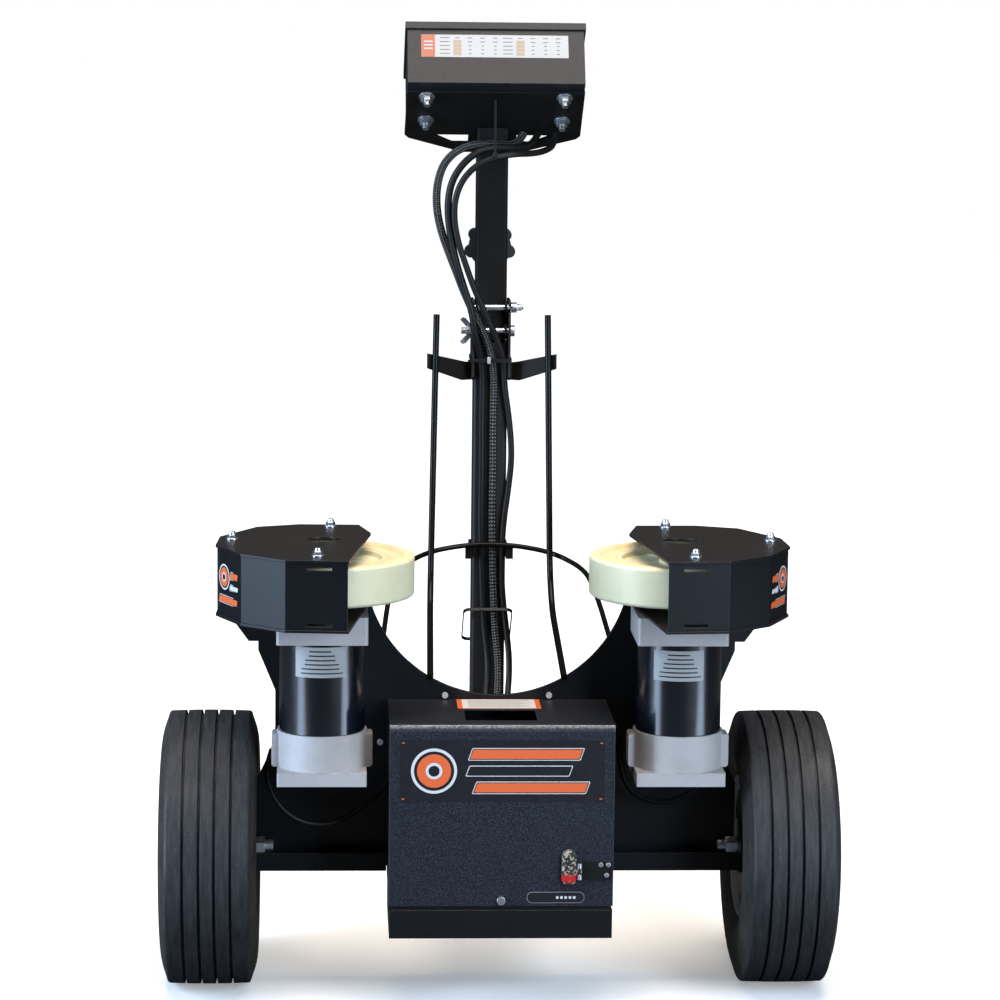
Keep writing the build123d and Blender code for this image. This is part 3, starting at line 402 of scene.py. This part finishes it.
CAD_LOOKS = {
    COAT: ["main_plate", "deck_left", "deck_right", "guard_top_left", "guard_top_right", "guard_wall_left",
           "guard_wall_right", "axle_channel_left", "axle_channel_right", "rear_beam", "rear_leg"],
    MAST_COAT: ["lower_mast"],
    SHADED_MAST_COAT: ["upper_mast", "mount_plate"],
    BRACKET_COAT: ["guide_brackets"],
    CASE_COAT: ["control_box", "control_panel"],
    CRINKLE: ["battery_box"],
    TRAY_COAT: ["battery_tray"],
    ROD_COAT: ["ball_rods", "ball_hoop"],
    RIM: ["rim_left", "rim_right"],
    STEEL: ["wheel_bearings_left", "wheel_bearings_right", "motor_rotor_left", "motor_rotor_right"],
    ZINC: ["axle_bolts", "guard_fasteners", "pivot_bolt", "latch_bolt", "box_fittings"],
    DULL_ZINC: ["console_bolts"],
    URETHANE: ["throw_tyre_left", "throw_tyre_right"],
    HUB: ["throw_hub_left", "throw_hub_right"],
    CAST: ["motor_flange_left", "motor_flange_right", "motor_end_bell_left", "motor_end_bell_right"],
    CAN_GLOSS: ["motor_can_left", "motor_can_right"],
    CASE: ["battery"],
    KNOB: ["mast_knob", "leg_knob", "speed_knob_left", "speed_knob_right", "power_switch", "charger_socket"],
    TIE: ["cable_ties"],
    CAP: ["charger_cap"],
    FOOT: ["rear_foot"],
}


def assign(node_name, material):
    mesh = NODES[node_name].data
    mesh.materials.clear()
    mesh.materials.append(material)


for material, names in CAD_LOOKS.items():
    for name in names:
        assign(name, material)
for side, hand in SIDES:
    assign(f"tyre_{hand}", tyre_material(f"tyre_rubber_{hand}", side * 0.3453))


def assign_where(node_name, material, inside):
    """Gives the faces of a CAD node whose centres pass a test a second material."""
    mesh = NODES[node_name].data
    mesh.materials.append(material)
    slot = len(mesh.materials) - 1
    for face in mesh.polygons:
        if inside(face.center / MM - Vector((0, AXLE_Y / MM, 0))):
            face.material_index = slot


assign_where("box_fittings", STRAP, lambda c: c.x > 85 and c.z > 155 and c.y > -141.2)
assign_where("box_fittings", DARK_ZINC, lambda c: c.y > 0 and c.y < 20)


# ---------------------------------------------------------------- cords
def spline_piece(name, points, diameter, material):
    """A round cord on a smooth NURBS line through control points given in millimetres from the axle."""
    data = bpy.data.curves.new(name, "CURVE")
    data.dimensions = "3D"
    data.bevel_depth = diameter / 2
    data.bevel_resolution = 5
    data.resolution_u = 10
    data.use_fill_caps = True
    line = data.splines.new("NURBS")
    line.points.add(len(points) - 1)
    for control, (x, y, z) in zip(line.points, points):
        control.co = (x * MM, AXLE_Y + y * MM, z * MM, 1.0)
    line.order_u = 3
    line.use_endpoint_u = True
    piece = bpy.data.objects.new(name, data)
    bpy.context.scene.collection.objects.link(piece)
    data.materials.append(material)
    return piece


CORDS = (
    ("control_cable_left", 10, 1.065, BRAID, "sleeve_fabric", (
        (39, 275.8, 1015.5), (30, 263.5, 1001), (4, 250.5, 1003), (-20, 243, 1003.5), (-38, 237, 999.5),
        (-53, 234.5, 990.5), (-65, 235, 975),
        (-71.5, 238, 949), (-71, 241, 921), (-65, 244, 894), (-55.5, 247, 868), (-45, 248.6, 842),
        (-35, 249.2, 816), (-22.5, 249, 790), (-9, 249.5, 764), (1.5, 258.5, 736), (4.5, 263.2, 706),
        (3.5, 263, 654), (4.2, 263.2, 600), (3.5, 263, 542), (4.5, 263.2, 482), (6.5, 263, 428),
        (8.5, 262.4, 384), (13.5, 255, 341), (12, 234, 302), (7, 197, 272), (3, 150, 249), (0, 99, 234),
        (0, 50, 226.5), (0, 8, 225))),
    ("control_cable_middle", 9, 1.065, HOSE, "hose", (
        (57, 275.8, 1015.5), (49, 262, 1000.5), (28, 246, 998.5), (6, 233, 1000.5), (-8, 227, 998.5),
        (-23, 224.5, 993.5), (-40, 224, 979),
        (-53, 226, 958), (-57.5, 228, 933), (-56.5, 230, 907), (-51.5, 232, 878), (-44, 235, 848),
        (-34.5, 238.6, 820), (-25, 237.5, 792), (-21.5, 242, 764), (-13, 257.5, 735), (-10.5, 263.5, 704),
        (-11, 263.7, 652), (-10.3, 263.5, 598), (-11, 263.7, 540), (-9.5, 263.5, 480), (-7.5, 263.7, 428),
        (-4.5, 262.4, 382), (1, 255, 338), (-4, 232, 299), (-10, 195, 269), (-13.5, 147, 247),
        (-14, 97, 233.5), (-15, 50, 226.5), (-14, 8, 225))),
    ("control_cable_right", 8, 1.085, HOSE, "hose", (
        (79, 276.3, 1016.7), (77.5, 267.5, 1001.5), (64, 253, 994.5), (46, 238, 992), (25, 221, 992.5),
        (-1, 214, 988),
        (-22, 215, 979), (-39.5, 217, 961), (-48.5, 220, 938), (-50, 223, 912), (-44.5, 226, 882),
        (-34, 229, 852), (-23, 233, 822), (-9, 240, 792), (6, 248, 760), (16.5, 257.5, 731),
        (17, 262.8, 700), (24.5, 264.2, 653), (28.3, 264, 607), (24, 264.2, 564), (18, 264, 520),
        (16, 264.2, 470), (18, 264, 426), (23.5, 262.4, 384), (28, 255, 342), (25, 234, 303),
        (19, 197, 274), (15.5, 149, 251), (14, 98, 235.5), (15, 50, 227), (14, 8, 225))),
    ("motor_lead_left", 7, 0.23, HOSE, "hose", (
        (-270.5, -56, 297), (-275, -56, 284), (-277, -54, 262), (-269, -50, 236), (-251, -46, 214),
        (-227, -42, 202), (-200, -38, 201), (-176, -35, 212), (-154, -32, 229), (-131, -30, 250))),
    ("motor_lead_right", 7, 0.20, HOSE, "hose", (
        (246, -42, 267.9), (244, -41, 254), (231, -36, 237), (210, -29, 226.5), (188, -24, 225),
        (168, -19, 232), (154.5, -14, 248), (149.5, -10, 270), (148, -9, 291), (141, -12, 308),
        (131, -15, 319))),
)
for node_name, thick, length, material, slot, points in CORDS:
    piece = spline_piece(f"{node_name}_skin", points, thick * MM, material)
    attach(piece, "frame")
    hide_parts(node_name)


# ---------------------------------------------------------------- printed labels and small pieces
def oblong(x, y, wide, high, corner=0.0, slant=0.0):
    """Outline of a slanted rectangle with rounded corners, in millimetres."""
    points = []
    corner = max(corner, 0.01)
    for cx, cy, start in ((1, 1, 0), (-1, 1, 90), (-1, -1, 180), (1, -1, 270)):
        for step in range(5):
            angle = math.radians(start + step * 22.5)
            px = cx * (wide / 2 - corner) + corner * math.cos(angle)
            py = cy * (high / 2 - corner) + corner * math.sin(angle)
            points.append((x + px + slant * py, y + py))
    return points


def round_shape(x, y, radius, count=48):
    return [(x + radius * math.cos(2 * math.pi * k / count), y + radius * math.sin(2 * math.pi * k / count))
            for k in range(count)]


def print_piece(name, surface, layers, body, bend_radius=None):
    """Thin layers of film on a surface: each layer is (outline, level, material), level counting outwards."""
    film = 0.00012
    mesh = bpy.data.meshes.new(name)
    sheet = bmesh.new()
    materials = []
    for outline, level, material in layers:
        if material not in materials:
            materials.append(material)
        corners = [sheet.verts.new((x * MM, y * MM, 0.00005 + film * level)) for x, y in outline]
        face = sheet.faces.new(corners)
        face.material_index = materials.index(material)
        if face.normal.z < 0:
            face.normal_flip()
        grown = bmesh.ops.extrude_face_region(sheet, geom=[face])
        raised = [v for v in grown["geom"] if isinstance(v, bmesh.types.BMVert)]
        bmesh.ops.translate(sheet, vec=(0, 0, film), verts=raised)
    sheet.normal_update()
    if bend_radius:
        reach = max(abs(v.co.x) for v in sheet.verts)
        step = 0.004
        cut = -reach + step
        while cut < reach:
            geometry = sheet.verts[:] + sheet.edges[:] + sheet.faces[:]
            bmesh.ops.bisect_plane(sheet, geom=geometry, plane_co=(cut, 0, 0), plane_no=(1, 0, 0))
            cut += step
        for v in sheet.verts:
            angle = v.co.x / bend_radius
            radius = bend_radius + v.co.z
            v.co.x = radius * math.sin(angle)
            v.co.z = radius * math.cos(angle) - bend_radius
    bmesh.ops.recalc_face_normals(sheet, faces=sheet.faces[:])
    sheet.to_mesh(mesh)
    sheet.free()
    for material in materials:
        mesh.materials.append(material)
    piece = bpy.data.objects.new(name, mesh)
    bpy.context.scene.collection.objects.link(piece)
    piece.matrix_world = surface
    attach(piece, body)
    return piece


def surface_at(origin, across, up):
    """Placement whose local X runs across, Y up the surface, and Z out of it. Origin in mm from the axle."""
    across = Vector(across).normalized()
    up = Vector(up).normalized()
    out = across.cross(up)
    turn = Matrix((across, up, out)).transposed().to_4x4()
    x, y, z = origin
    return Matrix.Translation((x * MM, AXLE_Y + y * MM, z * MM)) @ turn


def roundel(x, y, radius):
    return [(round_shape(x, y, radius), 1, WHITE), (round_shape(x, y, radius * 0.87), 2, INK),
            (round_shape(x, y, radius * 0.74), 3, ORANGE), (round_shape(x, y, radius * 0.36), 4, WHITE),
            (round_shape(x, y, radius * 0.24), 5, INK)]


def stripe(x, y, wide, high, material, slant=0.35, rim=2.0):
    return [(oblong(x, y, wide + 2 * rim, high + 2 * rim, 1.5, slant), 1, WHITE),
            (oblong(x, y, wide + rim, high + rim, 1.2, slant), 2, INK),
            (oblong(x, y, wide, high, 0.8, slant), 3, material)]


# Where the printed surfaces lie, in millimetres from the axle
BOX_FACE_Y = -139
MOTOR_X, MOTOR_Y, MOTOR_RADIUS = 211, -78, 50.5
CONSOLE_TILT = math.radians(32)

front_layers = [(oblong(0, 0, 239.5, 74, 2.5), 0, INK)]
front_layers += roundel(-80, 0, 27)
front_layers += stripe(28, 20, 128, 11, ORANGE) + stripe(20, 0, 118, 9, INK)
front_layers += stripe(34, -20, 130, 11, ORANGE)
for x in (-116, 116):
    for y in (-33.5, 33.5):
        front_layers.append((oblong(x, y, 3, 1.4), 1, ORANGE))
print_piece("box_front_print", surface_at((0, BOX_FACE_Y, 289.7), (1, 0, 0), (0, 0, 1)), front_layers,
            "frame")

top_layers = [(oblong(0.8, 0, 100, 54, 1), 0, ORANGE), (oblong(0.8, 0, 88, 50, 1), 1, WHITE)]
for k in range(9):
    top_layers.append((oblong(0.8 - 3 * (k % 3), 19 - 4.8 * k, 74 - 6 * (k % 3), 1.3), 2, GREY))
print_piece("box_top_print", surface_at((0, -16.5, 344), (1, 0, 0), (0, 1, 0)), top_layers, "frame")

tag_layers = [(oblong(0, 0, 68, 13.5, 6), 0, GREY), (oblong(0, 0, 66.6, 12.1, 5.4), 1, INK)]
tag_layers += [(oblong(22 - 5 * k, 0, 3, 3.2, 0.6), 2, WHITE) for k in range(5)]
print_piece("charger_place_print", surface_at((64.3, BOX_FACE_Y, 137.5), (1, 0, 0), (0, 0, 1)), tag_layers,
            "frame")

console_up = (0, math.sin(CONSOLE_TILT), math.cos(CONSOLE_TILT))
console_middle = (-1.5, 184 + 52.5 * console_up[1], 1080.5 + 52.5 * console_up[2])
console_layers = [(oblong(0, 0, 182, 32, 0.6), 0, CONSOLE_SHADED_WHITE),
                  (oblong(-82.5, 0, 16.8, 31.6, 0.4), 1, CONSOLE_SHADED_ORANGE)]
console_layers += [(oblong(-82.5, y, 11, 2.2, 0.6), 2, CONSOLE_SHADED_WHITE) for y in (6, 1, -4)]
for column in range(10):
    for row in range(5):
        x, y = -62 + 15.6 * column, 11.5 - 5.6 * row
        if column in (1, 6) and row > 0:
            console_layers.append((oblong(x, y, 10, 5, 0.3), 1, CONSOLE_SHADED_PALE))
        else:
            wide = 12 if column in (0, 5) else 6 if row < 2 else 3.5
            console_layers.append((oblong(x, y, wide, 1.1, 0.3), 1, CONSOLE_SHADED_GREY))
print_piece("console_front_print", surface_at(console_middle, (1, 0, 0), console_up), console_layers,
            "mast_top")

for side, hand, turned, height in ((-1, "left", -2.6, 416.0), (1, "right", -5.8, 412.4)):
    lean = math.radians(turned)
    out = (math.sin(lean), -math.cos(lean))
    label = [(oblong(0, 0, 62, 36, 1), 0, FILM)]
    label += [(oblong(2 * (k % 2), 13 - 5.2 * k, 26 + 5 * k, 1.6, 0.4), 1, INK) for k in range(6)]
    spot = (side * MOTOR_X + MOTOR_RADIUS * out[0], MOTOR_Y + MOTOR_RADIUS * out[1], height)
    print_piece(f"motor_plate_print_{hand}", surface_at(spot, (math.cos(lean), math.sin(lean), 0), (0, 0, 1)),
                label, "frame", MOTOR_RADIUS * MM)

for side, hand in SIDES:
    low, high = Vector((side * 305, -183, 0)), Vector((side * 335, -119, 0))
    first, last = (high, low) if side < 0 else (low, high)
    along = (last - first).normalized()
    inward = Vector((-along.y, along.x, 0)) * 2.1
    middle = (first + last) / 2 + inward
    art = [(oblong(0, 0, 66, 62, 2), 0, INK)]
    art += roundel(side * 14, 6, 15)
    art += stripe(side * -14, 10, 20, 7, ORANGE, 0.3, 1.4) + stripe(side * -14, -4, 22, 5, WHITE, 0.3, 1.4)
    art += stripe(-2, -20, 50, 7, ORANGE, 0.3, 1.4)
    print_piece(f"guard_print_{hand}", surface_at((middle.x, middle.y, 513), along, (0, 0, 1)), art, "frame")


def blocks(name, parts, material, body):
    """Small moulded bars with rounded edges: parts are (centre, size), in millimetres from the axle."""
    mesh = bpy.data.meshes.new(name)
    joined = bmesh.new()
    for (x, y, z), size in parts:
        spot = Matrix.Translation((x * MM, AXLE_Y + y * MM, z * MM))
        stretch = Matrix.Diagonal([side * MM for side in size]).to_4x4()
        made = bmesh.ops.create_cube(joined, size=1.0, matrix=spot @ stretch)["verts"]
        edges = list({edge for vert in made for edge in vert.link_edges})
        bmesh.ops.bevel(joined, geom=edges, offset=min(size) * 0.25 * MM, segments=3, affect="EDGES",
                        profile=0.5)
    joined.to_mesh(mesh)
    joined.free()
    mesh.materials.append(material)
    piece = bpy.data.objects.new(name, mesh)
    bpy.context.scene.collection.objects.link(piece)
    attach(piece, body)


blocks("hanging_tie", [((0, 206, 1025), (2.8, 1.2, 70)), ((0, 205.6, 991), (6.5, 5, 7))], TIE, "mast_top")
blocks("upper_tie_tag", [((-3, 248.2, 731), (4.4, 4, 8.5))], FILM, "frame")


# ---------------------------------------------------------------- floor and light
def set_stage():
    """A pale floor, white to the camera, that glows for reflections; three lamps; a white surround."""
    mesh = bpy.data.meshes.new("floor")
    sheet = bmesh.new()
    bmesh.ops.create_grid(sheet, x_segments=1, y_segments=1, size=12)
    sheet.to_mesh(mesh)
    sheet.free()
    floor = bpy.data.objects.new("floor", mesh)
    floor.location.z = -0.0005
    bpy.context.scene.collection.objects.link(floor)
    material, tree, shader = new_material("pale_floor")
    seen = node(tree, "ShaderNodeLightPath").outputs["Is Camera Ray"]
    shade = mix(tree, noise(tree, place(tree), 3, 3), color(0.90, 0.90, 0.90), color(0.92, 0.92, 0.92))
    tree.links.new(mix(tree, seen, color(0.10, 0.10, 0.10), shade), shader.inputs["Base Color"])
    shader.inputs["Roughness"].default_value = 1.0
    shader.inputs["Specular IOR Level"].default_value = 0.0
    coordinates = node(tree, "ShaderNodeTexCoord").outputs["Object"]
    reach = node(tree, "ShaderNodeVectorMath", {0: coordinates}, operation="LENGTH").outputs["Value"]
    glow = ramp(tree, math_node(tree, "MULTIPLY", reach, 0.2), (0.10, 0.25), (0.5, 1.0))
    spot = node(tree, "ShaderNodeSeparateXYZ", {"Vector": coordinates})
    sideways = math_node(tree, "MULTIPLY", math_node(tree, "ABSOLUTE", spot.outputs["X"]), 0.5)
    forward = math_node(tree, "MULTIPLY", math_node(tree, "ADD", spot.outputs["Y"], 0.15), 0.866)
    off_line = math_node(tree, "ABSOLUTE", math_node(tree, "ADD", sideways, forward))
    band = ramp(tree, off_line, (0.10, 1.0), (0.42, 0.0))
    near = ramp(tree, math_node(tree, "MULTIPLY", reach, 0.25), (0.20, 0.0), (0.28, 1.0), (0.60, 1.0),
                (0.72, 0.0))
    in_front = math_node(tree, "LESS_THAN", spot.outputs["Y"], -0.3)
    mirrored = node(tree, "ShaderNodeLightPath").outputs["Is Glossy Ray"]
    # A bright band on the floor in front, seen only in reflections, as a reflector card
    card = math_node(tree, "MULTIPLY", math_node(tree, "MULTIPLY", band, near),
                     math_node(tree, "MULTIPLY", in_front, mirrored))
    shine = math_node(tree, "ADD", math_node(tree, "MULTIPLY", card, 9.0),
                      math_node(tree, "MULTIPLY", glow, seen))
    tree.links.new(mix(tree, card, color(1, 1, 1), color(0.48, 0.68, 1.0)), shader.inputs["Emission Color"])
    tree.links.new(shine, shader.inputs["Emission Strength"])
    mesh.materials.append(material)
    world = bpy.data.worlds.new("studio")
    bpy.context.scene.world = world
    world.use_nodes = True
    tree = world.node_tree
    background = tree.nodes["Background"]
    seen = node(tree, "ShaderNodeLightPath").outputs["Is Camera Ray"]
    tree.links.new(mix(tree, seen, color(0.06, 0.065, 0.075), color(1.0, 1.0, 1.0)),
                   background.inputs["Color"])
    for name, spot, target, wide, high, power, tint in (
            ("left", (-2.9, -1.1, 1.2), (0, -0.1, 0.6), 0.9, 2.2, 165, (0.58, 0.77, 1.0)),
            ("right", (1.9, -2.7, 1.3), (0, -0.1, 0.6), 1.3, 2.2, 112, (0.66, 0.82, 1.0)),
            ("overhead", (0.1, -0.7, 3.2), (0, -0.1, 0.4), 2.4, 2.0, 135, (1.0, 0.89, 0.76))):
        light = bpy.data.lights.new(name, "AREA")
        light.shape = "RECTANGLE"
        light.size = wide
        light.size_y = high
        light.energy = power
        light.color = tint
        lamp = bpy.data.objects.new(name, light)
        lamp.location = spot
        lamp.rotation_euler = (Vector(target) - Vector(spot)).to_track_quat("-Z", "Y").to_euler()
        bpy.context.scene.collection.objects.link(lamp)
    bpy.context.scene.view_settings.view_transform = "Standard"


set_stage()
